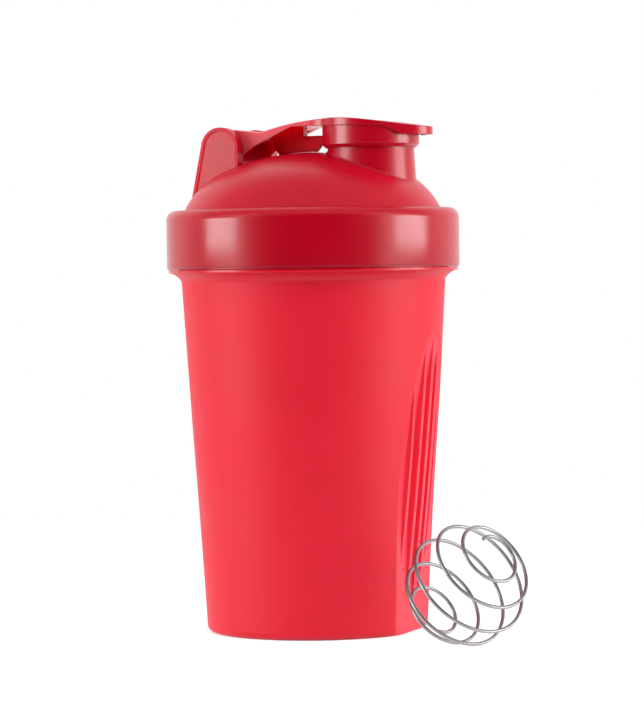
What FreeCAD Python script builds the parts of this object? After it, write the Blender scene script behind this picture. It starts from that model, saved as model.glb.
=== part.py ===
import FreeCAD, Part
import Sketcher
import math
import os
import re
from FreeCAD import Placement, Rotation, Vector

# A protein shaker bottle: a screw-lidded cup, its seal ring, a flip cap on the lid and a loose whisk ball.
# Millimetres, +Z up. The origin is the centre of the cup's foot, the spout points to +X, the hinge to -X.

os.makedirs("parts", exist_ok=True)
doc = FreeCAD.newDocument("shaker_bottle")

SIZES = {
    # cup: a cone with a shoulder flange and a plain neck that carries the thread
    "base_radius": 35.4,
    "body_height": 112.0,
    "base_rounding": 2.4,
    "cup_wall": 1.8,
    "cup_floor": 2.2,
    "floor_rounding": 4.0,
    "shoulder_step": 4.1,
    "flare_step": 0.8,
    "flare_rounding": 6.0,
    "rim_setback": 0.5,
    "rim_height": 1.1,
    "shoulder_rise": 3.7,
    "neck_height": 14.9,
    "neck_wall": 2.1,
    "neck_bevel": 0.5,
    # grips: two flats that run out upwards in a ramp, each with upright ribs
    "grip_turn": 4.5,
    "flat_foot_depth": 3.75,
    "flat_depth": 4.25,
    "flat_wall": 2.6,
    "ramp_start": 30.0,
    "ramp_length": 66.0,
    "rib_count": 5,
    "rib_pitch": 5.8,
    "rib_width": 2.2,
    "rib_crown": 0.45,
    "rib_middle": 50.0,
    "rib_reach": 42.5,
    "grip_half_width": 15.2,
    # lid: screw collar and dome
    "collar_radius": 46.8,
    "collar_wall": 2.2,
    "collar_gap": 0.35,
    "thread_room": 1.5,
    "collar_rounding": 3.0,
    "collar_bevel": 0.4,
    "lid_roof": 2.3,
    "dome_setback": 5.8,
    "dome_height": 18.2,
    "dome_crown_radius": 70.0,
    "dome_break": 28.0,
    "dome_wall": 2.0,
    "lip_clearance": 0.6,
    "lip_wall": 1.6,
    "lip_drop": 5.0,
    # seal ring between the neck's rim and the lid
    "seal_thickness": 1.6,
    "seal_clearance": 0.3,
    # spout
    "spout_offset": 20.7,
    "spout_radius": 13.45,
    "spout_draft": 3.0,
    "spout_wall": 1.75,
    "spout_rise": 5.8,
    "spout_fillet": 1.2,
    "spout_bevel": 0.4,
    # hinge ears, part of the lid
    "hinge_offset": 25.7,
    "hinge_rise": 1.8,
    "ear_radius": 6.5,
    "ear_lean": 12.0,
    "ear_thickness": 3.8,
    "ear_rim": 1.1,
    "ear_recess": 0.35,
    "hinge_side_gap": 0.3,
    "pin_radius": 2.3,
    "pin_length": 2.3,
    "pin_clearance": 0.05,
    "pin_end_gap": 0.2,
    # flip cap: channel-shaped arm, disc and thumb tab
    "arm_width": 21.2,
    "barrel_radius": 6.1,
    "sheet_thickness": 1.2,
    "flange_thickness": 1.8,
    "rim_drop": 2.2,
    "rim_fall": 0.4,
    "crown_offset": 13.0,
    "crown_rise": 4.45,
    "crown_radius": 90.0,
    "crown_end": 5.3,
    "valley_reach": 12.5,
    "flange_foot_reach": 9.9,
    "flange_foot_rise": 0.2,
    "flange_end_gap": 7.55,
    "plan_fillet": 9.0,
    "disc_overhang": 0.5,
    "tab_reach": 11.6,
    "tab_radius": 9.0,
    "tab_lip_drop": 5.55,
    "tab_lip_start": 9.6,
    "tab_lip_end": 14.3,
    # flip cap: skirt over the spout, plug ring in it and spine rib under the arm
    "skirt_clearance": 0.6,
    "skirt_wall": 1.3,
    "skirt_depth": 4.9,
    "skirt_chamfer": 1.0,
    "plug_clearance": 0.4,
    "plug_wall": 1.3,
    "plug_depth": 2.8,
    "plug_taper": 0.5,
    "spine_thickness": 3.0,
    "spine_clearance": 0.15,
    "spine_gap": 0.2,
    "spine_end_gap": 1.5,
    "spine_corner": 2.2,
    "strap_gap": 7.45,
    "strap_rise": 2.65,
    "strap_height": 2.6,
    # whisk ball: one wire wound as a spiral on a sphere
    "ball_radius": 18.8,
    "wire_radius": 0.57,
    "ball_turns": 5.45,
    "ball_start_angle": 17.2,
    "ball_end_angle": 22.7,
    "ball_pitch_ease": 0.17,
    "ball_gap": 2.63,
    "ball_bearing": -23.2,
    "ball_axis_rise": 36.5,
    "ball_axis_bearing": -21.9,
    "ball_spin": -152.7,
}

sheet = doc.addObject("Spreadsheet::Sheet", "sizes")
for row, (name, value) in enumerate(SIZES.items(), 1):
    sheet.set(f"A{row}", name)
    sheet.set(f"B{row}", str(value))
    sheet.setAlias(f"B{row}", name)
doc.recompute()

# Radii about the bottle's axis and heights that several sub-parts share, as formulas of the cells.
SHOULDER_TOP = "(body_height + shoulder_rise)"
COLLAR_BORE = "(collar_radius - collar_wall)"
RIM_RADIUS = "(collar_radius - rim_setback)"
BODY_RADIUS = f"({RIM_RADIUS} - shoulder_step)"
NECK_RADIUS = f"({COLLAR_BORE} - thread_room)"
NECK_BORE = f"({NECK_RADIUS} - neck_wall)"
LIP_RADIUS = f"({NECK_BORE} - lip_clearance)"
DOME_FOOT = "(collar_radius - dome_setback)"
NECK_TOP = f"({SHOULDER_TOP} + neck_height)"
LAND = f"({NECK_TOP} + seal_thickness)"
COLLAR_TOP = f"({LAND} + lid_roof)"
COLLAR_BOTTOM = f"({SHOULDER_TOP} + collar_gap)"
DOME_TOP = f"({COLLAR_TOP} + dome_height)"
HINGE_HEIGHT = f"({DOME_TOP} + hinge_rise)"
SPOUT_TOP = f"({DOME_TOP} + spout_rise)"
CROWN_TOP = f"({SPOUT_TOP} + crown_rise)"

# Radii of the flip cap, and how far out along X its places lie.
BARREL_BORE = "(barrel_radius - sheet_thickness)"
SKIRT_RADIUS = "(spout_radius + skirt_clearance + skirt_wall)"
SKIRT_LEFT = f"(spout_offset - {SKIRT_RADIUS})"
VALLEY = "(valley_reach - hinge_offset)"
TAB_OFFSET = "(spout_offset + tab_reach)"
TAB_TIP = f"({TAB_OFFSET} + tab_radius)"

# The cap's top is an arc up to where it runs straight on, at its slope there, to the tab's tip.
CROWN_SINE = "((spout_offset + crown_end - crown_offset) / crown_radius)"
CROWN_COSINE = f"sqrt(1 - {CROWN_SINE}^2)"

# The cup wall's lean, and the length along it that a rounding at its foot takes per radius.
TAPER = f"(({BODY_RADIUS} - base_radius) / body_height)"
SLANT = f"sqrt(1 + {TAPER}^2)"
FOOT_SHARE = f"({SLANT} - {TAPER})"

# A grip's flat lies a little deeper under the cone with height, and its ramp is one arc that
# starts along the flat and runs out on the cone.
LEAN = "((flat_depth - flat_foot_depth) / ramp_start)"
RAMP_RADIUS = f"(ramp_length^2 / (2 * (flat_depth + ramp_length * {LEAN})))"

# The dome is a shallow crown arc that meets a tighter knuckle arc at the break.
BREAK_SINE = "(dome_break / dome_crown_radius)"
BREAK_COSINE = f"sqrt(1 - {BREAK_SINE}^2)"
BREAK_HEIGHT = f"({DOME_TOP} - dome_crown_radius * (1 - {BREAK_COSINE}))"
KNUCKLE_RUN = f"({DOME_FOOT} - dome_break)"
KNUCKLE_DROP = f"({BREAK_HEIGHT} - {COLLAR_TOP})"
KNUCKLE_BITE = f"({KNUCKLE_DROP} * {BREAK_COSINE} - {KNUCKLE_RUN} * {BREAK_SINE})"
KNUCKLE_RADIUS = f"(({KNUCKLE_RUN}^2 + {KNUCKLE_DROP}^2) / (2 * {KNUCKLE_BITE}))"
KNUCKLE_ACROSS = f"(dome_break - {KNUCKLE_RADIUS} * {BREAK_SINE})"
KNUCKLE_UP = f"({BREAK_HEIGHT} - {KNUCKLE_RADIUS} * {BREAK_COSINE})"


def tied(formula):
    """The formula with each size's name tied to its cell in the sheet."""
    return re.sub(r"[a-z]+(_[a-z]+)+", r"sizes.\g<0>", str(formula))


def number(formula):
    """The formula's present value."""
    return float(sheet.evalExpression(tied(formula)))


def plane(body, role):
    return next(item for item in body.Origin.OriginFeatures if item.Role == role)


def new_body(label):
    body = doc.addObject("PartDesign::Body", label)
    body.Label = label
    return body


def new_sketch(body, name, role="XZ_Plane", along=None, aside=None):
    """A sketch on one of the body's planes, moved along its first axis or off the plane."""
    sketch = body.newObject("Sketcher::SketchObject", name)
    sketch.AttachmentSupport = [(plane(body, role), "")]
    sketch.MapMode = "FlatFace"
    if along:
        sketch.setExpression("AttachmentOffset.Base.x", tied(along))
    if aside:
        sketch.setExpression("AttachmentOffset.Base.z", tied(aside))
    return sketch


def pin(sketch, geometry, point, across, up):
    """Ties a point's two coordinates to formulas."""
    for kind, formula in (("DistanceX", across), ("DistanceY", up)):
        constraint = Sketcher.Constraint(kind, -1, 1, geometry, point, number(formula))
        index = sketch.addConstraint(constraint)
        sketch.setExpression(f"Constraints[{index}]", tied(formula))


def arc_between(start, end, radius):
    """The arc shorter than half a turn from start to end, counter-clockwise for a positive radius."""
    middle = (start + end) * 0.5
    chord = end - start
    reach = math.sqrt(max(radius * radius - chord.Length ** 2 / 4, 0.0))
    left = Vector(-chord.y, chord.x, 0).normalize()
    centre = middle + left * math.copysign(reach, radius)
    first, last = (start, end) if radius > 0 else (end, start)
    circle = Part.Circle(centre, Vector(0, 0, 1), abs(radius))
    begin = math.atan2(first.y - centre.y, first.x - centre.x)
    finish = math.atan2(last.y - centre.y, last.x - centre.x)
    return Part.ArcOfCircle(circle, begin, finish)


def add_outline(sketch, corners):
    """A closed outline. A corner is (across, up) or (across, up, radius) where an arc runs to the next."""
    places = [Vector(number(corner[0]), number(corner[1]), 0) for corner in corners]
    ends = []
    for index, corner in enumerate(corners):
        start = places[index]
        end = places[(index + 1) % len(corners)]
        if len(corner) == 2:
            geometry = sketch.addGeometry(Part.LineSegment(start, end), False)
            ends.append((geometry, 1, 2))
            continue
        radius = number(corner[2])
        geometry = sketch.addGeometry(arc_between(start, end, radius), False)
        ends.append((geometry, 1, 2) if radius > 0 else (geometry, 2, 1))
        size = sketch.addConstraint(Sketcher.Constraint("Radius", geometry, abs(radius)))
        sign = "" if radius > 0 else "-"
        sketch.setExpression(f"Constraints[{size}]", tied(f"{sign}({corner[2]})"))
    join_and_pin(sketch, ends, corners)


def join_and_pin(sketch, ends, corners):
    for index, (geometry, first, _) in enumerate(ends):
        before, _, last = ends[index - 1]
        sketch.addConstraint(Sketcher.Constraint("Coincident", before, last, geometry, first))
        pin(sketch, geometry, first, corners[index][0], corners[index][1])


def add_circle(sketch, across, up, radius):
    centre = Vector(number(across), number(up), 0)
    circle = sketch.addGeometry(Part.Circle(centre, Vector(0, 0, 1), number(radius)), False)
    size = sketch.addConstraint(Sketcher.Constraint("Radius", circle, number(radius)))
    sketch.setExpression(f"Constraints[{size}]", tied(radius))
    pin(sketch, circle, 3, across, up)


def turned(body, name, sketch, cut=False):
    """The sketch turned once round its own upright axis, added or cut."""
    feature = body.newObject("PartDesign::Groove" if cut else "PartDesign::Revolution", name)
    feature.Profile = sketch
    feature.ReferenceAxis = (sketch, ["V_Axis"])
    feature.Angle = 360
    return feature


def pushed(body, name, sketch, depth, cut=False, middle=False, back=False):
    """The sketch pushed through a depth, added or cut."""
    feature = body.newObject("PartDesign::Pocket" if cut else "PartDesign::Pad", name)
    feature.Profile = sketch
    feature.setExpression("Length", tied(depth))
    feature.Midplane = middle
    feature.Reversed = back
    return feature


def halfway_round(body, name, features):
    """The features and their copies half a turn round the upright axis."""
    pattern = body.newObject("PartDesign::PolarPattern", name)
    pattern.Originals = features
    pattern.Axis = (plane(body, "Z_Axis"), [""])
    pattern.Angle = 360
    pattern.Occurrences = 2
    body.Tip = pattern
    return pattern


def mirrored(body, name, features):
    """The features and their copies on the other side of the XZ plane."""
    mirror = body.newObject("PartDesign::Mirrored", name)
    mirror.Originals = features
    mirror.MirrorPlane = (plane(body, "XZ_Plane"), [""])
    body.Tip = mirror
    return mirror


def boolean(kind, name, base, tool):
    feature = doc.addObject(kind, name)
    feature.Base = base
    feature.Tool = tool
    return feature


# Cup ------------------------------------------------------------------------------------------------

def flat_line(height, inset):
    """How far out a grip's flat lies at a height, or the same moved inwards."""
    return f"base_radius + ({height}) * ({TAPER} - {LEAN}) - flat_foot_depth - ({inset})"


def ramp_line(height, inset):
    """The same at a height of the ramp."""
    rise = f"(({height}) - ramp_start)^2 / (2 * ({RAMP_RADIUS} + {inset}))"
    return f"{flat_line(height, inset)} + {rise}"


def cut_flats(body, inset):
    """Cuts both grip flats; an inset moves them inwards for the inside of the wall."""
    sketch = new_sketch(body, "flat_side")
    outside = f"{RIM_RADIUS} + 20"
    ramp_end = "ramp_start + ramp_length * 1.1"
    add_outline(sketch, [
        (flat_line("-5", inset), "-5"),
        (outside, "-5"),
        (outside, ramp_end),
        (ramp_line(ramp_end, inset), ramp_end, f"{RAMP_RADIUS} + {inset}"),
        (flat_line("ramp_start", inset), "ramp_start"),
    ])
    flat = pushed(body, "flat", sketch, f"4 * {RIM_RADIUS}", cut=True, middle=True)
    return halfway_round(body, "flats", [flat])


def cup_outside():
    body = new_body("cup_outside")
    sketch = new_sketch(body, "cup_profile")
    rim_bottom = f"{SHOULDER_TOP} - rim_height"
    add_outline(sketch, [
        ("0", "0"),
        (f"base_radius - base_rounding * {FOOT_SHARE}", "0", "base_rounding"),
        (f"base_radius + base_rounding * {FOOT_SHARE} * {TAPER} / {SLANT}",
         f"base_rounding * {FOOT_SHARE} / {SLANT}"),
        (BODY_RADIUS, "body_height", "0 - flare_rounding"),
        (f"{RIM_RADIUS} - flare_step", rim_bottom),
        (RIM_RADIUS, rim_bottom),
        (RIM_RADIUS, SHOULDER_TOP),
        (NECK_RADIUS, SHOULDER_TOP),
        (NECK_RADIUS, f"{NECK_TOP} - neck_bevel"),
        (f"{NECK_RADIUS} - neck_bevel", NECK_TOP),
        ("0", NECK_TOP),
    ])
    turned(body, "cup_solid", sketch)
    cut_flats(body, "0")
    ribs = []
    for index in range(int(number("rib_count"))):
        ribs.append(add_grip_rib(body, index))
    halfway_round(body, "ribs", ribs)
    return body


def add_grip_rib(body, index):
    """One upright rib of a grip: it rises from the flat and ends on the ramp, inside an ellipse."""
    aside = f"(({index} - (rib_count - 1) / 2) * rib_pitch)"
    reach = f"rib_reach * sqrt(1 - ({aside} / grip_half_width)^2)"
    low = f"(rib_middle - {reach})"
    high = f"(rib_middle + {reach})"
    foot = flat_line(low, "0")
    half_chord = number(reach)
    crown = number("rib_crown")
    curve = (half_chord ** 2 + crown ** 2) / (2 * crown)
    sketch = new_sketch(body, f"rib_side_{index}", aside=aside)
    add_outline(sketch, [
        (foot, low, curve),
        (ramp_line(high, "0"), high),
        (f"{foot} - flat_wall", high),
        (f"{foot} - flat_wall", low),
    ])
    return pushed(body, f"rib_{index}", sketch, "rib_width", middle=True)


def cup_inside():
    body = new_body("cup_inside")
    sketch = new_sketch(body, "cavity_profile")
    bottom_radius = f"base_radius + cup_floor * {TAPER} - cup_wall"
    add_outline(sketch, [
        ("0", "cup_floor"),
        (f"{bottom_radius} - floor_rounding * {FOOT_SHARE}", "cup_floor", "floor_rounding"),
        (f"{bottom_radius} + floor_rounding * {FOOT_SHARE} * {TAPER} / {SLANT}",
         f"cup_floor + floor_rounding * {FOOT_SHARE} / {SLANT}"),
        (f"{BODY_RADIUS} - cup_wall", "body_height"),
        (NECK_BORE, SHOULDER_TOP),
        (NECK_BORE, f"{NECK_TOP} + 5"),
        ("0", f"{NECK_TOP} + 5"),
    ])
    turned(body, "cavity", sketch)
    cut_flats(body, "flat_wall")
    return body


def make_cup():
    outside = cup_outside()
    inside = cup_inside()
    cup = boolean("Part::Cut", "cup", outside, inside)
    for piece in (outside, inside):
        piece.Placement.Rotation = Rotation(Vector(0, 0, 1), number("grip_turn"))
    return cup


# Lid ------------------------------------------------------------------------------------------------

def make_seal_ring():
    body = new_body("lid_seal_ring")
    sketch = new_sketch(body, "seal_profile")
    inner = f"{LIP_RADIUS} + seal_clearance"
    outer = f"{COLLAR_BORE} - seal_clearance"
    add_outline(sketch, [
        (inner, NECK_TOP),
        (outer, NECK_TOP),
        (outer, LAND),
        (inner, LAND),
    ])
    turned(body, "seal", sketch)
    return body


def cone_radius(height):
    """The spout's outer radius at a height."""
    return f"(spout_radius + ({SPOUT_TOP} - ({height})) * tan(spout_draft))"


def is_spout_foot(edge):
    """True for an edge of the curve along which the spout's cone meets the dome."""
    if edge.BoundBox.ZMax > number(DOME_TOP) or edge.Curve.TypeId == "Part::GeomLine":
        return False
    axis = Vector(number("spout_offset"), 0, 0)
    for place in edge.discretize(5):
        across = math.hypot(place.x - axis.x, place.y)
        if abs(across - number(cone_radius(str(place.z)))) > 0.01:
            return False
    return True


def add_spout(body):
    """The spout's outside, a full plug for now, with a fillet where it leaves the dome."""
    sketch = new_sketch(body, "spout_profile", along="spout_offset")
    add_outline(sketch, [
        ("0", COLLAR_TOP),
        (cone_radius(COLLAR_TOP), COLLAR_TOP),
        (cone_radius(f"{SPOUT_TOP} - spout_bevel"), f"{SPOUT_TOP} - spout_bevel"),
        ("spout_radius - spout_bevel", SPOUT_TOP),
        ("0", SPOUT_TOP),
    ])
    spout = turned(body, "spout", sketch)
    doc.recompute()
    feet = [f"Edge{index}" for index, edge in enumerate(spout.Shape.Edges, 1) if is_spout_foot(edge)]
    root = body.newObject("PartDesign::Fillet", "spout_root")
    root.Base = (spout, feet)
    root.setExpression("Radius", "sizes.spout_fillet")


def ear_outline(inset, low):
    """The side of a hinge ear, or the same outline moved inwards."""
    radius = f"(ear_radius - {inset})"
    back_across = f"(0 - hinge_offset - {radius} * cos(ear_lean))"
    back_up = f"({HINGE_HEIGHT} + {radius} * sin(ear_lean))"
    return [
        (f"{radius} - hinge_offset", low),
        (f"{radius} - hinge_offset", HINGE_HEIGHT, radius),
        (back_across, back_up),
        (f"{back_across} - ({back_up} - ({low})) * tan(ear_lean)", low),
    ]


def add_ears(body):
    """Both hinge ears, each with a shallow rimmed panel outside and a blind socket inside."""
    inner = "(arm_width / 2 + hinge_side_gap)"
    low = f"{COLLAR_TOP} + 1"
    side = new_sketch(body, "ear_side", aside=inner)
    add_outline(side, ear_outline("0", low))
    ear = pushed(body, "ear", side, "ear_thickness - ear_recess")
    band = new_sketch(body, "ear_band", aside=f"{inner} + ear_thickness - ear_recess")
    outer = ear_outline("0", low)
    inside = ear_outline("ear_rim", low)
    add_outline(band, [
        outer[0],
        outer[1],
        outer[2],
        outer[3],
        inside[3],
        (inside[2][0], inside[2][1], "0 - (ear_radius - ear_rim)"),
        (inside[1][0], inside[1][1]),
        inside[0],
    ])
    rim = pushed(body, "ear_edge", band, "ear_recess")
    hole = new_sketch(body, "socket_circle", aside=inner)
    add_circle(hole, "0 - hinge_offset", HINGE_HEIGHT, "pin_radius + pin_clearance")
    socket = pushed(body, "socket", hole, "pin_length + pin_end_gap - hinge_side_gap", cut=True, back=True)
    return mirrored(body, "ears", [ear, rim, socket])


def dome_arcs(inset):
    """The dome's two arcs for an outline, from the knuckle's foot up to the axis."""
    return [
        (f"dome_break - {inset} * {BREAK_SINE}", f"{BREAK_HEIGHT} - {inset} * {BREAK_COSINE}",
         f"dome_crown_radius - {inset}"),
        ("0", f"{DOME_TOP} - {inset}"),
    ]


def make_lid():
    """The lid's outside is made solid, with spout and ears, and then hollowed from below."""
    body = new_body("lid")
    sketch = new_sketch(body, "lid_profile")
    add_outline(sketch, [
        ("0", COLLAR_BOTTOM),
        ("collar_radius - collar_bevel", COLLAR_BOTTOM),
        ("collar_radius", f"{COLLAR_BOTTOM} + collar_bevel"),
        ("collar_radius", f"{COLLAR_TOP} - collar_rounding", "collar_rounding"),
        ("collar_radius - collar_rounding", COLLAR_TOP),
        (DOME_FOOT, COLLAR_TOP, KNUCKLE_RADIUS),
    ] + dome_arcs("0"))
    turned(body, "lid_solid", sketch)
    add_spout(body)
    add_ears(body)
    under = new_sketch(body, "lid_cavity_profile")
    lip_bore = f"({LIP_RADIUS} - lip_wall)"
    knuckle = f"({KNUCKLE_RADIUS} - dome_wall)"
    add_outline(under, [
        ("0", f"{COLLAR_BOTTOM} - 5"),
        (COLLAR_BORE, f"{COLLAR_BOTTOM} - 5"),
        (COLLAR_BORE, LAND),
        (LIP_RADIUS, LAND),
        (LIP_RADIUS, f"{LAND} - lip_drop"),
        (lip_bore, f"{LAND} - lip_drop"),
        (lip_bore, f"{KNUCKLE_UP} + sqrt({knuckle}^2 - ({lip_bore} - {KNUCKLE_ACROSS})^2)", knuckle),
    ] + dome_arcs("dome_wall"))
    turned(body, "lid_cavity", under, cut=True)
    bore = new_sketch(body, "spout_bore_profile", along="spout_offset")
    add_outline(bore, [
        ("0", f"{COLLAR_TOP} - 5"),
        ("spout_radius - spout_wall", f"{COLLAR_TOP} - 5"),
        ("spout_radius - spout_wall", f"{SPOUT_TOP} + 5"),
        ("0", f"{SPOUT_TOP} + 5"),
    ])
    turned(body, "spout_bore", bore, cut=True)
    return body


# Flip cap -------------------------------------------------------------------------------------------

def crown_line(drop):
    """The cap's top from the valley to the tab's tip, or a parallel of it a drop lower."""
    radius = f"(crown_radius - {drop})"
    middle = f"({CROWN_TOP} - crown_radius)"
    start_height = f"{middle} + sqrt({radius}^2 - ({VALLEY} - crown_offset)^2)"
    end = f"(crown_offset + {radius} * {CROWN_SINE})"
    end_height = f"({middle} + {radius} * {CROWN_COSINE})"
    return [
        (VALLEY, start_height, f"0 - {radius}"),
        (end, end_height),
        (TAB_TIP, f"{end_height} - ({TAB_TIP} - {end}) * {CROWN_SINE} / {CROWN_COSINE}"),
    ]


def cap_plan(label, inset):
    """The cap's outline from above as a tall block: arm, disc and tapering tab."""
    body = new_body(label)
    disc = f"({SKIRT_RADIUS} + disc_overhang - {inset})"
    tab = f"(tab_radius - {inset})"
    half_arm = f"(arm_width / 2 - {inset})"
    slope = f"(({SKIRT_RADIUS} + disc_overhang - tab_radius) / tab_reach)"
    aside = f"sqrt(1 - {slope}^2)"
    low = COLLAR_TOP
    tall = f"{CROWN_TOP} - {COLLAR_TOP} + 10"
    arm_sketch = new_sketch(body, "arm_plan", "XY_Plane", aside=low)
    root = "0 - hinge_offset - barrel_radius - 1"
    add_outline(arm_sketch, [
        (root, f"0 - {half_arm}"),
        ("spout_offset", f"0 - {half_arm}"),
        ("spout_offset", half_arm),
        (root, half_arm),
    ])
    pushed(body, "arm_block", arm_sketch, tall)
    disc_sketch = new_sketch(body, "disc_plan", "XY_Plane", aside=low)
    add_circle(disc_sketch, "spout_offset", "0", disc)
    pushed(body, "disc_block", disc_sketch, tall)
    tab_sketch = new_sketch(body, "tab_plan", "XY_Plane", aside=low)
    add_outline(tab_sketch, [
        (f"spout_offset + {disc} * {slope}", f"0 - {disc} * {aside}"),
        (f"{TAB_OFFSET} + {tab} * {slope}", f"0 - {tab} * {aside}", tab),
        (f"{TAB_OFFSET} + {tab} * {slope}", f"{tab} * {aside}"),
        (f"spout_offset + {disc} * {slope}", f"{disc} * {aside}"),
    ])
    pushed(body, "tab_block", tab_sketch, tall)
    doc.recompute()
    corner = math.sqrt(number(disc) ** 2 - number(half_arm) ** 2)
    corner_across = number("spout_offset") - corner
    blend = body.newObject("PartDesign::Fillet", "plan_blend")
    block = body.Group[-2]
    names = []
    for index, edge in enumerate(block.Shape.Edges, 1):
        upright = edge.BoundBox.XLength < 0.01 and edge.BoundBox.ZLength > 1
        if upright and abs(edge.CenterOfMass.x - corner_across) < 0.05:
            names.append(f"Edge{index}")
    blend.Base = (block, names)
    blend.setExpression("Radius", tied(f"plan_fillet + {inset}"))
    return body


def cap_side():
    """The cap's outline from the side, wide enough for the whole plan."""
    body = new_body("cap_side")
    sketch = new_sketch(body, "cap_side_outline")
    foot_angle = 37
    tab_low = f"{CROWN_TOP} - tab_lip_drop"
    rim_low = f"{CROWN_TOP} - rim_drop"
    add_outline(sketch, [
        ("0 - hinge_offset", f"{HINGE_HEIGHT} + barrel_radius"),
    ] + crown_line("0") + [
        (TAB_TIP, tab_low),
        ("spout_offset + tab_lip_end", tab_low),
        ("spout_offset + tab_lip_start", f"{rim_low} - rim_fall"),
        (f"{SKIRT_LEFT} - flange_end_gap", rim_low),
        ("flange_foot_reach - hinge_offset", f"{HINGE_HEIGHT} + flange_foot_rise"),
        (f"0 - hinge_offset + barrel_radius * cos({foot_angle})",
         f"{HINGE_HEIGHT} - barrel_radius * sin({foot_angle})", "0 - barrel_radius"),
        ("0 - hinge_offset - barrel_radius", HINGE_HEIGHT, "0 - barrel_radius"),
    ])
    pushed(body, "cap_side_block", sketch, f"4 * {SKIRT_RADIUS}", middle=True)
    return body


def cap_underside():
    """The room under the cap's sheet, open downwards, as wide as the whole plan."""
    body = new_body("cap_underside")
    sketch = new_sketch(body, "cap_underside_outline")
    low = f"{COLLAR_TOP} - 5"
    add_outline(sketch, [
        ("0 - hinge_offset", f"{HINGE_HEIGHT} + {BARREL_BORE}"),
    ] + crown_line("sheet_thickness") + [
        (TAB_TIP, low),
        (f"0 - hinge_offset - {BARREL_BORE}", low),
        (f"0 - hinge_offset - {BARREL_BORE}", HINGE_HEIGHT, f"0 - {BARREL_BORE}"),
    ])
    pushed(body, "cap_underside_block", sketch, f"4 * {SKIRT_RADIUS}", middle=True)
    return body


def over_dome(across):
    """The height that clears the dome's crown at a place along it."""
    radius = "(dome_crown_radius + spine_clearance)"
    return f"{DOME_TOP} - dome_crown_radius + sqrt({radius}^2 - ({across})^2)"


def cap_seals():
    """Skirt, plug ring and spine rib, ending inside the thickness of the crowned sheet."""
    body = new_body("cap_seals")
    rings = new_sketch(body, "ring_profile", along="spout_offset")
    top = f"{CROWN_TOP} + 5"
    skirt_low = f"({SPOUT_TOP} - skirt_depth)"
    plug_low = f"({SPOUT_TOP} - plug_depth)"
    plug_radius = "(spout_radius - spout_wall - plug_clearance)"
    add_outline(rings, [
        (f"{SKIRT_RADIUS} - skirt_wall", skirt_low),
        (f"{SKIRT_RADIUS} - skirt_chamfer", skirt_low),
        (SKIRT_RADIUS, f"{skirt_low} + skirt_chamfer"),
        (SKIRT_RADIUS, top),
        (f"{SKIRT_RADIUS} - skirt_wall", top),
    ])
    add_outline(rings, [
        (f"{plug_radius} - plug_wall", plug_low),
        (f"{plug_radius} - plug_taper", plug_low),
        (plug_radius, f"{plug_low} + 2 * plug_taper"),
        (plug_radius, top),
        (f"{plug_radius} - plug_wall", top),
    ])
    turned(body, "rings", rings)
    spine = new_sketch(body, "spine_side")
    spine_start = f"({VALLEY} + spine_gap)"
    spine_end = f"({SKIRT_LEFT} - spine_end_gap)"
    foot_start = f"({spine_start} + spine_corner)"
    foot_end = f"({spine_end} - spine_corner)"
    strap_low = f"({DOME_TOP} + strap_rise)"
    strap_start = f"({SKIRT_LEFT} - strap_gap)"
    strap_end = f"({SKIRT_LEFT} + skirt_wall / 2)"
    add_outline(spine, [
        (spine_start, strap_low),
        (foot_start, over_dome(foot_start), "0 - (dome_crown_radius + spine_clearance)"),
        (foot_end, over_dome(foot_end)),
        (spine_end, strap_low),
        (strap_end, strap_low),
        (strap_end, f"{strap_low} + strap_height"),
        (strap_start, f"{strap_low} + strap_height"),
        (strap_start, top),
        (spine_start, top),
    ])
    pushed(body, "spine", spine, "spine_thickness", middle=True)
    above = new_sketch(body, "above_sheet")
    add_outline(above, crown_line("sheet_thickness / 2") + [
        (TAB_TIP, f"{CROWN_TOP} + 10"),
        (VALLEY, f"{CROWN_TOP} + 10"),
    ])
    pushed(body, "trim_to_sheet", above, f"4 * {SKIRT_RADIUS}", cut=True, middle=True)
    return body


def cap_pins():
    """The trunnions on the arm's cheeks."""
    body = new_body("cap_pins")
    sketch = new_sketch(body, "pin_circle", aside="arm_width / 2 - flange_thickness / 2")
    add_circle(sketch, "0 - hinge_offset", HINGE_HEIGHT, "pin_radius")
    stub = pushed(body, "pin", sketch, "flange_thickness / 2 + pin_length")
    mirrored(body, "pins", [stub])
    return body


def make_flip_cap():
    outside = boolean("Part::Common", "cap_outside", cap_plan("cap_plan", "0"), cap_side())
    room = boolean("Part::Common", "cap_room", cap_plan("cap_room_plan", "flange_thickness"), cap_underside())
    shell = boolean("Part::Cut", "cap_shell", outside, room)
    cap = doc.addObject("Part::MultiFuse", "flip_cap")
    cap.Shapes = [shell, cap_seals(), cap_pins()]
    return cap


# Whisk ball -----------------------------------------------------------------------------------------

def spiral_place(share, radius):
    """A place on the spiral, from one pole to the other as the share goes from 0 to 1, turning clockwise."""
    start = math.radians(number("ball_start_angle"))
    span = math.pi - start - math.radians(number("ball_end_angle"))
    whole = 2 * math.pi * share
    polar = start + span * (share - number("ball_pitch_ease") * math.sin(whole) / (2 * math.pi))
    turn = -whole * number("ball_turns")
    return Vector(math.sin(polar) * math.cos(turn), math.sin(polar) * math.sin(turn), math.cos(polar)) * radius


def arc_on_sphere(start, direction, end):
    """The circular arc from start, leaving along direction, to end."""
    normal = direction.cross(end - start).normalize()
    across = normal.cross(direction).normalize()
    chord = end - start
    radius = chord.Length ** 2 / (2 * chord.dot(across))
    centre = start + across * radius
    angle = 2 * math.atan2(chord.dot(across), chord.dot(direction))
    turn = Rotation(normal, math.degrees(angle))
    half = Rotation(normal, math.degrees(angle / 2))
    arc = Part.Arc(start, centre + half.multVec(start - centre), centre + turn.multVec(start - centre))
    return arc, turn.multVec(direction)


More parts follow.
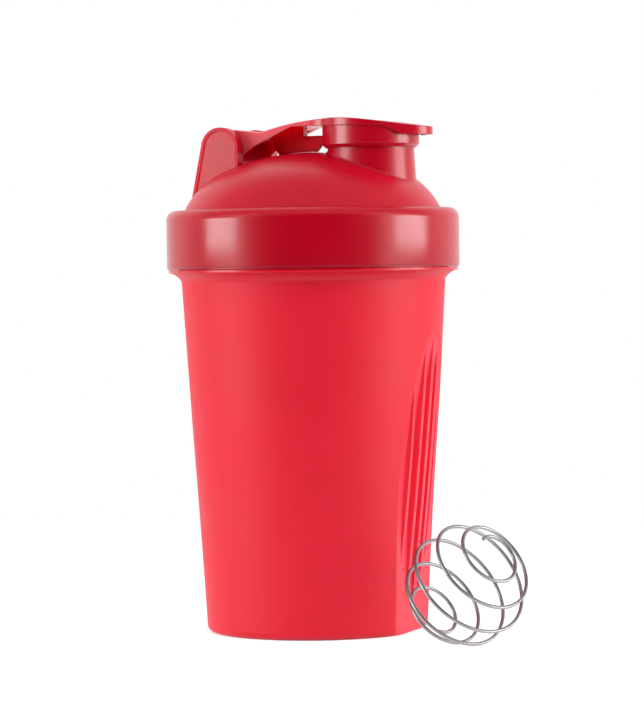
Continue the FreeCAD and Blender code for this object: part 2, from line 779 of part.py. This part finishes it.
def make_whisk_ball():
    radius = number("ball_radius") - number("wire_radius")
    steps = round(number("ball_turns") * 5)
    places = [spiral_place(step / steps, radius) for step in range(steps + 1)]
    ahead = spiral_place(0.01 / steps, radius)
    direction = (ahead - places[0]).normalize()
    first_direction = direction
    edges = []
    for start, end in zip(places, places[1:]):
        arc, direction = arc_on_sphere(start, direction, end)
        edges.append(arc.toShape())
    path = Part.Wire(edges)
    section = Part.Wire(Part.Circle(places[0], first_direction, number("wire_radius")).toShape())
    ball = doc.addObject("Part::Feature", "whisk_ball")
    ball.Shape = path.makePipeShell([section], True, False)
    rise = number("ball_axis_rise")
    bearing = number("ball_axis_bearing")
    spin = Rotation(Vector(0, 0, 1), number("ball_spin"))
    lean = Rotation(Vector(0, 0, 1), bearing) * Rotation(Vector(0, 1, 0), 90 - rise)
    ball.Placement = Placement(Vector(0, 0, 0), lean * spin)
    where = math.radians(number("ball_bearing"))
    away = number("collar_radius + ball_radius + ball_gap")
    lowest = ball.Shape.optimalBoundingBox(False, False).ZMin
    ball.Placement.Base = Vector(away * math.cos(where), away * math.sin(where), -lowest)
    return ball


pieces = [make_cup(), make_seal_ring(), make_lid(), make_flip_cap(), make_whisk_ball()]
doc.recompute()

for item in doc.Objects:
    if "Invalid" in item.State or "Error" in item.State:
        raise RuntimeError(f"{item.Name} failed: {item.State}")
for piece in pieces:
    if piece.Shape.isNull() or not piece.Shape.isValid() or len(piece.Shape.Solids) != 1:
        raise RuntimeError(f"{piece.Label} is not one valid solid")
    print(piece.Label, round(piece.Shape.Volume / 1000, 2), "cm3", piece.Shape.BoundBox)
for piece in pieces:
    piece.Shape.exportStep(f"parts/{piece.Label}.step")
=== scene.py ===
import bpy
import math
import numpy as np
from mathutils import Matrix, Vector


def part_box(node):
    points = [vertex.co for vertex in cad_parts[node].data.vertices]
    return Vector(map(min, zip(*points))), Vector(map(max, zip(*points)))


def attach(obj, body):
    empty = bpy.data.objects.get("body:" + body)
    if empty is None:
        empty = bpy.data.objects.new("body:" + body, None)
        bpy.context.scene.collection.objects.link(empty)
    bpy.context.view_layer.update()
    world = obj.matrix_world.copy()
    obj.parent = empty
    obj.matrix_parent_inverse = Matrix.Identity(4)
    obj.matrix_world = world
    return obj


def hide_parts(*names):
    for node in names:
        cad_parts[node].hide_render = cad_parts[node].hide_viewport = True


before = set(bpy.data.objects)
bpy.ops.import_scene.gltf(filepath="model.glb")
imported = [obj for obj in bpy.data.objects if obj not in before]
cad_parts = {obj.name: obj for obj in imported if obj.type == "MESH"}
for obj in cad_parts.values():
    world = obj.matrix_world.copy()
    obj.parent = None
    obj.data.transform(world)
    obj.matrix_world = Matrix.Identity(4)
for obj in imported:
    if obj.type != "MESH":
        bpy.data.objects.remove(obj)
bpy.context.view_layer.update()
scene = bpy.context.scene
mm = 0.001
print("frame loaded:", ", ".join(sorted(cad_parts)))

# node helpers


def addNode(tree, kind, inputs=None, **settings):
    made = tree.nodes.new(kind)
    for name, value in settings.items():
        setattr(made, name, value)
    for name, value in (inputs or {}).items():
        if isinstance(value, bpy.types.NodeSocket):
            tree.links.new(value, made.inputs[name])
        else:
            made.inputs[name].default_value = value
    return made


def compute(tree, operation, *values):
    return addNode(tree, "ShaderNodeMath", dict(enumerate(values)), operation=operation).outputs[0]


def remap(tree, value, span, low=0.0, high=1.0, kind="LINEAR"):
    # low at the span's first value, high at its second, and held outside them
    ends = {"Value": value, "From Min": span[0], "From Max": span[1], "To Min": low, "To Max": high}
    return addNode(tree, "ShaderNodeMapRange", ends, interpolation_type=kind).outputs["Result"]


def axisOf(tree, vector, axis):
    return addNode(tree, "ShaderNodeSeparateXYZ", {"Vector": vector}).outputs[axis]


def noise(tree, place, scale, detail):
    look = {"Vector": place, "Scale": scale, "Detail": detail}
    return addNode(tree, "ShaderNodeTexNoise", look).outputs["Fac"]


def colourRamp(tree, factor, stops):
    stops = list(stops)
    ramp = addNode(tree, "ShaderNodeValToRGB", {"Fac": factor})
    low, high = ramp.color_ramp.elements
    low.position, low.color = stops[0][0], (*stops[0][1], 1)
    high.position, high.color = stops[-1][0], (*stops[-1][1], 1)
    for position, colour in stops[1:-1]:
        ramp.color_ramp.elements.new(position).color = (*colour, 1)
    return ramp.outputs["Color"]


def blankMaterial(name):
    material = bpy.data.materials.new(name)
    material.use_nodes = True
    tree = material.node_tree
    return material, tree, tree.nodes["Principled BSDF"]


# mesh helpers


def dressNode(name, material):
    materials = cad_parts[name].data.materials
    materials.clear()
    materials.append(material)


def meshPiece(name, points, faces, material, body, smooth=True):
    mesh = bpy.data.meshes.new(name)
    mesh.from_pydata(points.tolist(), [], faces)
    mesh.polygons.foreach_set("use_smooth", np.full(len(mesh.polygons), smooth))
    mesh.materials.append(material)
    piece = bpy.data.objects.new(name, mesh)
    scene.collection.objects.link(piece)
    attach(piece, body)
    return piece


def tubeFaces(rows, around, closed=False):
    # quads between neighbouring rings, and one flat face on each end ring unless the last ring meets
    # the first
    row, turn = np.meshgrid(np.arange(rows if closed else rows - 1), np.arange(around), indexing="ij")
    nextTurn = (turn + 1) % around
    here, there = row * around, (row + 1) % rows * around
    corners = [here + turn, here + nextTurn, there + nextTurn, there + turn]
    quads = np.stack(corners, -1).reshape(-1, 4).tolist()
    if closed:
        return quads
    return quads + [list(range(around))[::-1], list(range((rows - 1) * around, rows * around))]


# zones of the mouldings, some with a finish of their own and some with painted light and shade, and where
# they lie

zoneLooks = {
    # grips: painted light, a brighter and pinker red for light through the thin wall and for sheen
    "grips": {"colour": (0.90, 0.030, 0.068), "roughness": 0.50},
    # foot: painted sheen, a pinker red than the rest of the cup
    "foot": {"colour": (0.71, 0.024, 0.052), "roughness": 0.53},
    # shoulder: painted shade, a darker red on the downward-facing flare
    "shoulder": {"colour": (0.66, 0.001, 0.018), "roughness": 0.50},
    # rim: real gloss, with a colour about as dark as the shoulder's painted shade
    "rim": {"colour": (0.68, 0.002, 0.020), "roughness": 0.20},
    # dome: painted light, a lighter red on the top of the lid, with a real satin finish
    "dome": {"colour": (0.56, 0.001, 0.018), "roughness": 0.34},
    # ears: painted sheen, a pale pink on the matte ear panels
    "ears": {"colour": (0.65, 0.105, 0.120), "roughness": 0.60},
    # arm: painted glow, a brighter red for light through the arm and bounced under it
    "arm": {"colour": (0.72, 0.002, 0.035), "roughness": 0.18, "subsurface": 0.85},
    # flanges: painted sheen, a pale pink on the arm's side flanges
    "flanges": {"colour": (0.80, 0.085, 0.115), "roughness": 0.46},
    # spine: painted glow, a bright red on the rib under the arm
    "spine": {"colour": (0.84, 0.001, 0.020), "roughness": 0.85},
}
zonePlaces = {
    "coneHeight": 112 * mm, "coneFoot": 35.4 * mm, "coneTop": 42.2 * mm,  # the cup's wall and its two radii
    "gripDepth": (0.2 * mm, 1.0 * mm), "ribsFrom": (6 * mm, 26 * mm),
    "shoulderShadeFrom": (111.5 * mm, 113 * mm), "rimFrom": 46.1 * mm,
    "domeFrom": (133.4 * mm, 134.4 * mm),
    "spoutCentre": 20.7 * mm, "spoutEdge": (14.2 * mm, 15.2 * mm), "spoutShare": 0.4,
    "earPanel": 14.35 * mm, "earSlack": 0.08 * mm, "earFacing": 0.95,
    "armTo": (7 * mm, 3 * mm), "flangeFrom": 10 * mm, "spineTo": 2 * mm, "spineFacing": 0.9,
}


def distanceFrom(tree, place, centre=0.0):
    # level distance from the upright line through (centre, 0)
    squash = {"Vector": place, "Location": (-centre, 0, 0), "Scale": (1, 1, 0)}
    flat = addNode(tree, "ShaderNodeMapping", squash).outputs["Vector"]
    return addNode(tree, "ShaderNodeVectorMath", {0: flat}, operation="LENGTH").outputs["Value"]


def sidewaysPart(tree, vector):
    # size of a vector's part along the hinge's pin, and so a point's distance from the middle plane
    return compute(tree, "ABSOLUTE", axisOf(tree, vector, "Y"))


def sidewaysShare(tree, least):
    # 1 where the surface faces along the hinge's pin
    facing = addNode(tree, "ShaderNodeTexCoord").outputs["Normal"]
    return compute(tree, "GREATER_THAN", sidewaysPart(tree, facing), least)


def gripParts(tree, place):
    # how far a point lies below the cup's cone, from 0 to 1, and 0 beside the plain foot, 1 beside the ribs
    height = axisOf(tree, place, "Z")
    cone = remap(tree, height, (0, zonePlaces["coneHeight"]), zonePlaces["coneFoot"], zonePlaces["coneTop"])
    depth = compute(tree, "SUBTRACT", cone, distanceFrom(tree, place))
    deep = remap(tree, depth, zonePlaces["gripDepth"])
    above = remap(tree, height, zonePlaces["ribsFrom"])
    return deep, above


def gripGlowShare(tree, place):
    # 1 down among the ribs, where the colour is painted brighter and pinker to stand in for light coming
    # through the thin wall and for sheen
    deep, above = gripParts(tree, place)
    return compute(tree, "MULTIPLY", deep, above)


def footSheenShare(tree, place):
    # 1 on the plain foot of a grip, whose colour is painted pinker as sheen
    deep, above = gripParts(tree, place)
    return compute(tree, "MULTIPLY", deep, compute(tree, "SUBTRACT", 1.0, above))


def shoulderShadeShare(tree, place):
    # 1 on the flare below the lid, painted a darker red as shade on its downward face
    return remap(tree, axisOf(tree, place, "Z"), zonePlaces["shoulderShadeFrom"])


def rimShare(tree, place):
    # 1 on the flare's polished rim; its gloss is real, and its colour keeps about the flare's painted shade
    return compute(tree, "GREATER_THAN", distanceFrom(tree, place), zonePlaces["rimFrom"])


def domeLightShare(tree, place):
    # 0 on the collar, 1 on the dome above it, and less on the spout; the dome's colour is painted lighter as
    # the light falling on the top, and its satin finish is real
    above = remap(tree, axisOf(tree, place, "Z"), zonePlaces["domeFrom"])
    away = distanceFrom(tree, place, zonePlaces["spoutCentre"])
    beside = remap(tree, away, zonePlaces["spoutEdge"], low=zonePlaces["spoutShare"])
    return compute(tree, "MULTIPLY", above, beside)


def earSheenShare(tree, place):
    # 1 on the sunk panels of the two hinge ears, painted a pale pink as sheen on their matte finish
    away = sidewaysPart(tree, place)
    level = compute(tree, "COMPARE", away, zonePlaces["earPanel"], zonePlaces["earSlack"])
    return compute(tree, "MULTIPLY", level, sidewaysShare(tree, zonePlaces["earFacing"]))


def armShare(tree, place):
    # 1 along the cap's arm, 0 from where its disc and skirt begin; the arm's colour is painted a brighter red
    # as light glowing through it and bounced under it
    return remap(tree, axisOf(tree, place, "X"), zonePlaces["armTo"])


def flangeSheenShare(tree, place):
    # 1 on the arm's two side flanges, painted a pale pink as sheen
    side = compute(tree, "GREATER_THAN", sidewaysPart(tree, place), zonePlaces["flangeFrom"])
    return compute(tree, "MULTIPLY", side, armShare(tree, place))


def spineGlowShare(tree, place):
    # 1 on the sides of the rib under the arm, painted a bright red as light glowing through and bounced under
    # the arm
    near = compute(tree, "LESS_THAN", sidewaysPart(tree, place), zonePlaces["spineTo"])
    return compute(tree, "MULTIPLY", near, sidewaysShare(tree, zonePlaces["spineFacing"]))


# plastics: the cup is a satin translucent red, the lid and cap a deeper and glossier one

plastics = {
    "cup_plastic": {
        "colour": (0.76, 0.001, 0.024), "deepColour": (0.70, 0.001, 0.019), "roughness": 0.50,
        "roughnessSwing": 0.05, "cloudSize": 30 * mm, "grainSize": 0.35 * mm, "grainHeight": 0.006 * mm,
        "drawLines": 0.03, "edgeRadius": 0.70 * mm, "subsurface": 0.30, "bleed": 3.0 * mm, "specular": 0.45,
        "zones": {"grips": gripGlowShare, "foot": footSheenShare, "shoulder": shoulderShadeShare, "rim": rimShare},
    },
    "lid_plastic": {
        "colour": (0.50, 0.001, 0.016), "deepColour": (0.45, 0.001, 0.013), "roughness": 0.21,
        "roughnessSwing": 0.03, "cloudSize": 24 * mm, "grainSize": 0.30 * mm, "grainHeight": 0.0015 * mm,
        "drawLines": 0.02, "edgeRadius": 0.20 * mm, "subsurface": 0.65, "bleed": 6.0 * mm, "specular": 0.50,
        "zones": {"dome": domeLightShare, "ears": earSheenShare},
        "leanIn": 0.36 * mm, "leanOver": (116 * mm, 125 * mm),  # the collar's foot
    },
    "cap_plastic": {
        "colour": (0.51, 0.002, 0.018), "deepColour": (0.46, 0.001, 0.014), "roughness": 0.24,
        "roughnessSwing": 0.03, "cloudSize": 24 * mm, "grainSize": 0.30 * mm, "grainHeight": 0.0015 * mm,
        "drawLines": 0.01, "edgeRadius": 0.30 * mm, "subsurface": 0.20, "bleed": 8.0 * mm, "specular": 0.50,
        "zones": {"arm": armShare, "flanges": flangeSheenShare, "spine": spineGlowShare},
    },
}
moulding = {
    "ior": 1.49, "clouds": (0.3, 0.7), "lineScale": 900.0, "lineStretch": (1.0, 1.0, 0.02), "edgeSamples": 6,
    "bleedByColour": (1.0, 0.2, 0.3),  # light goes furthest in red
}


def plasticMaterial(name):
    # slow colour clouds, faint upright draw lines in the gloss, then the zones with their finishes and
    # painted light and shade, fine grain and eased edges
    look = plastics[name]
    material, tree, shader = blankMaterial(name)
    place = addNode(tree, "ShaderNodeTexCoord").outputs["Object"]
    cloud = noise(tree, place, 1 / look["cloudSize"], 3.0)
    colour = colourRamp(tree, cloud, zip(moulding["clouds"], (look["deepColour"], look["colour"])))
    stretch = {"Vector": place, "Scale": moulding["lineStretch"]}
    upright = addNode(tree, "ShaderNodeMapping", stretch).outputs["Vector"]
    lines = noise(tree, upright, moulding["lineScale"], 2.0)
    smooth, swing = look["roughness"] - look["drawLines"], look["roughnessSwing"]
    gloss = remap(tree, cloud, moulding["clouds"], smooth - swing, smooth + swing)
    rough = compute(tree, "ADD", gloss, compute(tree, "MULTIPLY", lines, look["drawLines"] * 2))
    for zoneName, findShare in look["zones"].items():
        zone = zoneLooks[zoneName]
        share = findShare(tree, place)
        mixed = {0: share, 6: colour, 7: (*zone["colour"], 1)}
        colour = addNode(tree, "ShaderNodeMix", mixed, data_type="RGBA").outputs[2]
        rough = addNode(tree, "ShaderNodeMix", {0: share, 2: rough, 3: zone["roughness"]}).outputs[0]
        if "subsurface" in zone:
            depth = addNode(tree, "ShaderNodeMix", {0: share, 2: look["subsurface"], 3: zone["subsurface"]})
            tree.links.new(depth.outputs[0], shader.inputs["Subsurface Weight"])
    tree.links.new(colour, shader.inputs["Base Color"])
    tree.links.new(rough, shader.inputs["Roughness"])

    relief = compute(tree, "MULTIPLY", noise(tree, place, 1 / look["grainSize"], 2.0), look["grainHeight"])
    if "leanIn" in look:
        # the collar leans in towards its foot by the square of the way down to it
        level = remap(tree, axisOf(tree, place, "Z"), look["leanOver"], low=1.0, high=0.0)
        square = compute(tree, "MULTIPLY", level, level)
        relief = compute(tree, "MULTIPLY_ADD", square, -look["leanIn"], relief)
    edges = addNode(tree, "ShaderNodeBevel", {"Radius": look["edgeRadius"]}, samples=moulding["edgeSamples"])
    raised = {"Height": relief, "Distance": 1.0, "Strength": 1.0, "Normal": edges.outputs["Normal"]}
    bump = addNode(tree, "ShaderNodeBump", raised)
    tree.links.new(bump.outputs["Normal"], shader.inputs["Normal"])

    shader.inputs["IOR"].default_value = moulding["ior"]
    shader.inputs["Specular IOR Level"].default_value = look["specular"]
    shader.inputs["Subsurface Weight"].default_value = look["subsurface"]
    bleed = tuple(share * look["bleed"] for share in moulding["bleedByColour"])
    shader.inputs["Subsurface Radius"].default_value = bleed
    shader.inputs["Subsurface Scale"].default_value = 1.0
    return material


silicone = {
    "colour": (0.82, 0.82, 0.79), "deepColour": (0.74, 0.74, 0.70), "clouds": (0.3, 0.7), "cloudScale": 120.0,
    "roughness": 0.55, "relief": 0.02 * mm, "subsurface": 0.3, "bleed": (1.5 * mm, 1.5 * mm, 1.2 * mm),
}


def siliconeMaterial():
    # a milky rubber with slow clouds that also lift its surface a little
    material, tree, shader = blankMaterial("seal_rubber")
    place = addNode(tree, "ShaderNodeTexCoord").outputs["Object"]
    cloud = noise(tree, place, silicone["cloudScale"], 3.0)
    tint = colourRamp(tree, cloud, zip(silicone["clouds"], (silicone["deepColour"], silicone["colour"])))
    tree.links.new(tint, shader.inputs["Base Color"])
    bump = addNode(tree, "ShaderNodeBump", {"Height": cloud, "Distance": silicone["relief"], "Strength": 1.0})
    tree.links.new(bump.outputs["Normal"], shader.inputs["Normal"])
    shader.inputs["Roughness"].default_value = silicone["roughness"]
    shader.inputs["Subsurface Weight"].default_value = silicone["subsurface"]
    shader.inputs["Subsurface Radius"].default_value = silicone["bleed"]
    shader.inputs["Subsurface Scale"].default_value = 1.0
    return material


steel = {
    "colour": (0.39, 0.39, 0.41), "dull": (0.31, 0.31, 0.33), "tints": (0.35, 0.65),
    "roughness": 0.32, "swing": 0.05, "glosses": (0.3, 0.7),
    "streaks": (120.0, 24.0, 1.0), "relief": 0.002 * mm,
}


def steelMaterial():
    # drawn wire: fine streaks along its length, read from the wire's own UV map, which is metres along and
    # share of a turn
    material, tree, shader = blankMaterial("wire_steel")
    along = addNode(tree, "ShaderNodeTexCoord").outputs["UV"]
    drawn = addNode(tree, "ShaderNodeMapping", {"Vector": along, "Scale": steel["streaks"]}).outputs["Vector"]
    streaks = noise(tree, drawn, 1.0, 4.0)
    tint = colourRamp(tree, streaks, zip(steel["tints"], (steel["dull"], steel["colour"])))
    tree.links.new(tint, shader.inputs["Base Color"])
    smooth, rough = steel["roughness"] - steel["swing"], steel["roughness"] + steel["swing"]
    tree.links.new(remap(tree, streaks, steel["glosses"], smooth, rough), shader.inputs["Roughness"])
    bump = addNode(tree, "ShaderNodeBump", {"Height": streaks, "Distance": steel["relief"], "Strength": 1.0})
    tree.links.new(bump.outputs["Normal"], shader.inputs["Normal"])
    shader.inputs["Metallic"].default_value = 1.0
    return material


cupPlastic = plasticMaterial("cup_plastic")
lidPlastic = plasticMaterial("lid_plastic")
dressNode("cup", cupPlastic)
dressNode("lid", lidPlastic)
dressNode("flip_cap", plasticMaterial("cap_plastic"))
dressNode("lid_seal_ring", siliconeMaterial())
print("materials done")

# screw threads on the cup's neck and in the lid's collar

thread = {
    "pitch": 4.0 * mm, "turns": 1.5, "start": 119.8 * mm, "neckRadius": 43.1 * mm, "boreRadius": 44.6 * mm,
    "height": 1.1 * mm, "foot": 0.8 * mm, "crest": 0.4 * mm, "sunk": 0.2 * mm,
    "shoulder": 0.8, "flat": 0.6,  # shares of the height and of the crest where its edges are eased
    "fade": 0.08, "least": 0.02, "rows": 260,
}


def threadRidge(name, radius, outwards, lift, material, body):
    # a point is (radius + outwards * ridge, angle, start + lift + pitch * angle / turn + width), a blunt
    # wedge carried round a right-handed helix; the ridge's height follows a smooth step at both ends
    angle = np.linspace(0, 2 * np.pi * thread["turns"], thread["rows"])
    share = angle / angle[-1]
    ramp = np.clip(np.minimum(share, 1 - share) / thread["fade"], thread["least"], 1)
    ease = (ramp * ramp * (3 - 2 * ramp))[:, None]
    tall, foot, crest = thread["height"], thread["foot"], thread["crest"]
    eased, flat, sunk = thread["shoulder"] * tall, thread["flat"] * crest, thread["sunk"]
    ridge = np.array([-sunk, 0, eased, tall, tall, eased, 0, -sunk])
    width = np.array([-foot, -foot, -crest, -flat, flat, crest, foot, foot])
    distance = radius + outwards * np.where(ridge > 0, ridge * ease, ridge)
    height = thread["start"] + lift + thread["pitch"] * angle[:, None] / (2 * np.pi) + width
    points = np.stack([distance * np.cos(angle[:, None]), distance * np.sin(angle[:, None]), height], -1)
    if outwards > 0:
        points = points[:, ::-1]
    meshPiece(name, points.reshape(-1, 3), tubeFaces(len(angle), len(ridge)), material, body)


threadRidge("cup_thread", thread["neckRadius"], 1, 0, cupPlastic, "cup")
threadRidge("lid_thread", thread["boreRadius"], -1, -thread["pitch"] / 2, lidPlastic, "lid")
print("threads done")

# thin lip under the lid's collar, just clear of the cup's shoulder

collarLip = {"radius": 46.7 * mm, "inner": 45.0 * mm, "bottom": 115.79 * mm, "top": 116.6 * mm, "rows": 256}


def addCollarLip():
    # a four-cornered profile that starts inside the collar, turned round the axis: a point is
    # (across * cos a, across * sin a, up)
    across = np.array([collarLip[side] for side in ("inner", "radius", "radius", "inner")])
    up = np.array([collarLip[end] for end in ("top", "top", "bottom", "bottom")])
    angle = np.linspace(0, 2 * np.pi, collarLip["rows"], endpoint=False)[:, None]
    points = np.stack([across * np.cos(angle), across * np.sin(angle), up + 0 * angle], -1).reshape(-1, 3)
    faces = tubeFaces(len(angle), len(across), closed=True)
    meshPiece("collar_lip", points, faces, lidPlastic, "lid", smooth=False)


addCollarLip()
print("collar lip done")

# whisk ball: one drawn steel wire wound as an open spiral on a sphere

ball = {
    "radius": 18.8 * mm, "wire": 0.57 * mm, "turns": 5.45, "startAngle": 17.2, "endAngle": 22.7,
    "ease": 0.17, "tail": 0.035, "tip": 0.02, "rise": 36.5, "bearing": -21.9, "spin": -152.7,
    "looseFrom": 0.20, "looseFade": 0.10, "pull": (-1.1 * mm, -0.5 * mm, 0.3 * mm),
    "rows": 1040, "around": 16,
}


def whiskBall():
    # the centre line is (sin p cos a, sin p sin a, cos p) on the sphere, where the polar angle p runs from
    # one pole to the other, slower near both, as the angle a makes its turns clockwise; the section is a
    # circle between the sphere's outward direction and the one across the wire, drawn in to a half round
    # at both ends; the tail winds a little past the last turn, and the first turn is pulled slightly aside
    share = np.linspace(0, 1 + ball["tail"], ball["rows"])
    first = math.radians(ball["startAngle"])
    span = math.pi - first - math.radians(ball["endAngle"])
    polar = first + span * (share - ball["ease"] * np.sin(2 * np.pi * share) / (2 * np.pi))
    turn = -2 * np.pi * ball["turns"] * share
    outward = np.stack([np.sin(polar) * np.cos(turn), np.sin(polar) * np.sin(turn), np.cos(polar)], -1)
    line = outward * (ball["radius"] - ball["wire"])
    ahead = np.gradient(line, axis=0)
    ahead /= np.linalg.norm(ahead, axis=1)[:, None]
    across = np.cross(ahead, outward)
    length = np.concatenate([[0], np.cumsum(np.linalg.norm(np.diff(line, axis=0), axis=1))])
    inwards = np.clip(np.minimum(length, length[-1] - length) / ball["wire"], ball["tip"], 1)
    thick = ball["wire"] * np.sqrt(1 - (1 - inwards) ** 2)
    circle = np.arange(ball["around"]) * 2 * np.pi / ball["around"]
    ring = outward[:, None] * np.cos(circle)[None, :, None] + across[:, None] * np.sin(circle)[None, :, None]
    points = (line[:, None] + ring * thick[:, None, None]).reshape(-1, 3)

    lean = Matrix.Rotation(math.radians(90 - ball["rise"]), 3, "Y")
    pose = Matrix.Rotation(math.radians(ball["bearing"]), 3, "Z") @ lean
    pose = np.array(pose @ Matrix.Rotation(math.radians(ball["spin"]), 3, "Z"))
    loose = np.clip((ball["looseFrom"] - share) / ball["looseFade"], 0, 1)
    loose = np.repeat(loose * loose * (3 - 2 * loose), ball["around"])[:, None]
    points = points @ pose.T + loose * np.array(ball["pull"])
    low, high = (np.array(corner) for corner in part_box("whisk_ball"))
    points += (low + high) / 2 - (points.min(0) + points.max(0)) / 2
    points[:, 2] += low[2] - points[:, 2].min()  # it stands where the solid does

    faces = tubeFaces(ball["rows"], ball["around"])
    piece = meshPiece("whisk_wire", points, faces, steelMaterial(), "ball")
    metres = np.repeat(length, ball["around"])
    turnShare = np.tile(circle / (2 * np.pi), ball["rows"])
    corners = np.empty(len(piece.data.loops), np.int32)
    piece.data.loops.foreach_get("vertex_index", corners)
    layer = piece.data.uv_layers.new(name="along")
    layer.data.foreach_set("uv", np.stack([metres[corners], turnShare[corners]], -1).ravel())
    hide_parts("whisk_ball")


whiskBall()
print("whisk ball done")

# camera, in degrees and metres

view = {
    "azimuth": 25.0, "distance": 1.04, "height": 0.1161, "pan": 0.130, "tilt": 1.642, "roll": 0.8,
    "lens": 162.4, "sensor": 36,  # both in millimetres
}


def towardsCamera(degrees=0.0):
    # a level direction from the bottle, turned by degrees to the right of the camera's own
    angle = math.radians(view["azimuth"] + degrees)
    return Vector((math.sin(angle), -math.cos(angle), 0))


def addCamera():
    data = bpy.data.cameras.new("camera")
    data.lens = view["lens"]
    data.sensor_width = view["sensor"]
    camera = bpy.data.objects.new("camera", data)
    scene.collection.objects.link(camera)
    heading = math.radians(view["azimuth"] - view["pan"])
    turn = Matrix.Rotation(heading, 4, "Z") @ Matrix.Rotation(math.radians(90 - view["tilt"]), 4, "X")
    turn = turn @ Matrix.Rotation(math.radians(-view["roll"]), 4, "Z")
    place = towardsCamera() * view["distance"] + Vector((0, 0, view["height"]))
    camera.matrix_world = Matrix.Translation(place) @ turn
    scene.camera = camera


# lamps: two low boxes that show in the gloss, and three soft fills that don't

lamps = {
    "left_box": {
        "degrees": -75, "distance": 0.9, "height": 0.18, "size": (0.45, 0.18), "power": 2.05, "gloss": True},
    "left_fill": {
        "degrees": -75, "distance": 0.9, "height": 0.31, "size": (0.45, 0.42), "power": 1.5, "gloss": False},
    "right_box": {
        "degrees": 81, "distance": 0.9, "height": 0.18, "size": (0.50, 0.18), "power": 2.4, "gloss": True},
    "right_fill": {
        "degrees": 81, "distance": 0.9, "height": 0.31, "size": (0.50, 0.42), "power": 2.2, "gloss": False},
    "front_fill": {
        "degrees": 0, "distance": 1.0, "height": 1.5, "size": (1.8, 1.2), "power": 14.2, "gloss": False},
}
lampsAimAt = Vector((0, 0, 0.09))


def addLamp(name, lamp):
    data = bpy.data.lights.new(name, "AREA")
    data.shape = "RECTANGLE"
    data.size, data.size_y = lamp["size"]
    data.energy = lamp["power"]
    made = bpy.data.objects.new(name, data)
    scene.collection.objects.link(made)
    place = towardsCamera(lamp["degrees"]) * lamp["distance"] + Vector((0, 0, lamp["height"]))
    facing = (lampsAimAt - place).to_track_quat("-Z", "Y")
    made.matrix_world = Matrix.Translation(place) @ facing.to_matrix().to_4x4()
    made.visible_glossy = lamp["gloss"]


# floor and world

white = (1, 1, 1, 1)
floorLook = {"radius": 0.5, "fade": (0.15, 0.5), "paint": (0.86, 0.86, 0.86, 1), "glow": 0.45, "corners": 96}


def straightRays(tree, path):
    # 1 for what is seen straight or through a clear part
    return compute(tree, "MAXIMUM", path["Is Camera Ray"], path["Is Transmission Ray"])


def addFloor():
    # a pale disc that takes the shadow, and fades out into the white around it
    data = bpy.data.meshes.new("floor")
    angle = np.linspace(0, 2 * np.pi, floorLook["corners"], endpoint=False)
    rim = np.stack([np.cos(angle), np.sin(angle), 0 * angle], -1) * floorLook["radius"]
    data.from_pydata(rim.tolist(), [], [list(range(len(rim)))])
    material, tree, shader = blankMaterial("floor")
    tree.nodes.remove(shader)
    place = addNode(tree, "ShaderNodeTexCoord").outputs["Object"]
    away = addNode(tree, "ShaderNodeVectorMath", {0: place}, operation="LENGTH").outputs["Value"]
    near = remap(tree, away, floorLook["fade"], low=1.0, high=0.0, kind="SMOOTHSTEP")
    paint = addNode(tree, "ShaderNodeBsdfDiffuse", {"Color": floorLook["paint"]}).outputs[0]
    glow = addNode(tree, "ShaderNodeEmission", {"Color": white, "Strength": floorLook["glow"]}).outputs[0]
    both = addNode(tree, "ShaderNodeAddShader", {0: paint, 1: glow}).outputs[0]
    clear = addNode(tree, "ShaderNodeBsdfTransparent").outputs[0]
    faded = addNode(tree, "ShaderNodeMixShader", {0: near, 1: clear, 2: both}).outputs[0]
    path = addNode(tree, "ShaderNodeLightPath").outputs
    seen = compute(tree, "MAXIMUM", straightRays(tree, path), path["Is Glossy Ray"])
    shown = addNode(tree, "ShaderNodeMixShader", {0: seen, 1: paint, 2: faded}).outputs[0]
    tree.links.new(shown, tree.nodes["Material Output"].inputs["Surface"])
    data.materials.append(material)
    floor = bpy.data.objects.new("floor", data)
    scene.collection.objects.link(floor)


# how bright the studio wall is, from the camera's side (0) round to the side behind the bottle (1), and from
# where round it gloss sees plain white; the ceiling begins by the upward part of a direction
world = {
    "wall": [(0.02, 0.0), (0.11, 0.11), (0.17, 0.32), (0.26, 2.0), (0.5, 0.42), (0.75, 1.0), (1.0, 1.0)],
    "ceiling": 0.45, "ceilingFrom": (0.35, 0.75), "whiteFrom": (0.68, 0.8),
}


def addWorld():
    # a white wall behind and beside the bottle that fades to a dark room in front of it, under a dim ceiling;
    # straight views see white, and so does gloss that looks past the bottle
    made = bpy.data.worlds.new("studio")
    made.use_nodes = True
    scene.world = made
    tree = made.node_tree
    direction = addNode(tree, "ShaderNodeTexCoord").outputs["Generated"]
    ways = {0: direction, 1: -towardsCamera()}
    facing = addNode(tree, "ShaderNodeVectorMath", ways, operation="DOT_PRODUCT").outputs["Value"]
    share = remap(tree, facing, (-1.0, 1.0))
    wall = colourRamp(tree, share, [(place, (level, level, level)) for place, level in world["wall"]])
    above = remap(tree, axisOf(tree, direction, "Z"), world["ceilingFrom"], kind="SMOOTHSTEP")
    ceiling = (*[world["ceiling"]] * 3, 1)
    room = addNode(tree, "ShaderNodeMix", {0: above, 6: wall, 7: ceiling}, data_type="RGBA").outputs[2]
    path = addNode(tree, "ShaderNodeLightPath").outputs
    mirrored = compute(tree, "MULTIPLY", path["Is Glossy Ray"], remap(tree, share, world["whiteFrom"]))
    seen = compute(tree, "MAXIMUM", straightRays(tree, path), mirrored)
    shown = addNode(tree, "ShaderNodeMix", {0: seen, 6: room, 7: white}, data_type="RGBA").outputs[2]
    tree.links.new(shown, tree.nodes["Background"].inputs["Color"])


addCamera()
for lampName, lamp in lamps.items():
    addLamp(lampName, lamp)
addFloor()
addWorld()
scene.view_settings.view_transform = "Standard"
print("camera, lamps, floor and world done")
